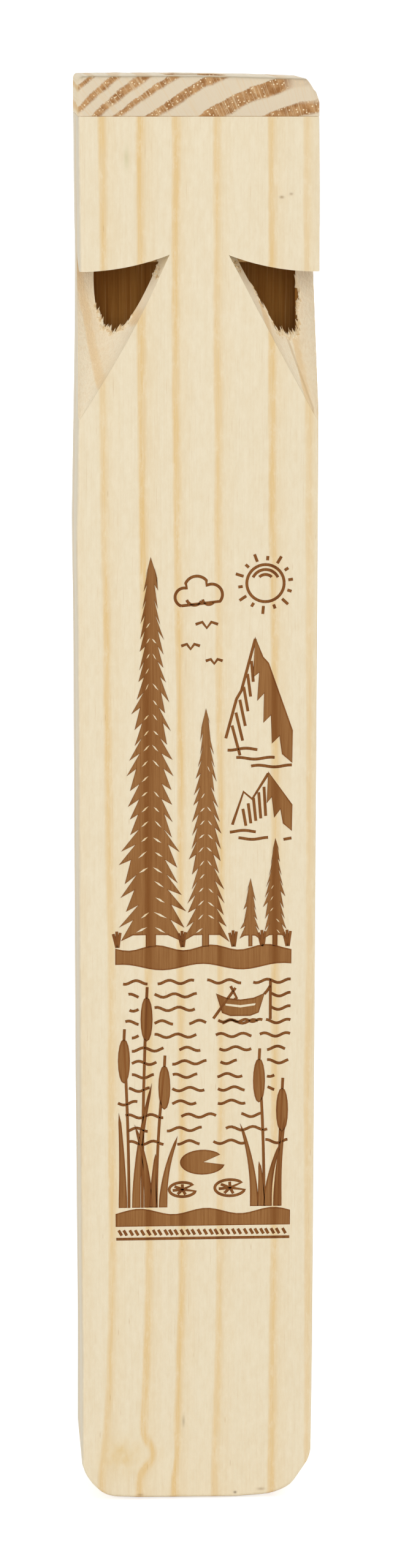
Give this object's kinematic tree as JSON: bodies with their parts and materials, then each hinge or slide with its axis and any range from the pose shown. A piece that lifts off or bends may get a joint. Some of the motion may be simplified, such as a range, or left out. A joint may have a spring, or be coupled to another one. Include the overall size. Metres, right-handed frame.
{
  "type": "wooden train whistle",
  "caption": "Two-note wooden fipple whistle: a drilled pine block with corner windows, a cap with a blow hole over its drilled end and fipple plugs inside.",
  "frame": {"origin": "centre of the whistle's box at the foot face, on the surface that it stands on", "axes": "+Z along the block from the foot to the mouth end, -Y out of the front face with the windows, +X to the right seen from the front"},
  "size_m": [0.038, 0.0254, 0.2339],
  "materials": {
    "pine": "bare sanded pine with pale orange growth rings, unvarnished",
    "cap_pine": "bare pine lath, cross-cut, with its end grain to the front",
    "dowel": "bare hardwood dowel"
  },
  "bodies": {
    "root": {"body": "pine", "mouth_cap": "cap_pine", "left_fipple_plug": "dowel", "right_fipple_plug": "dowel"}
  },
  "joints": []
}
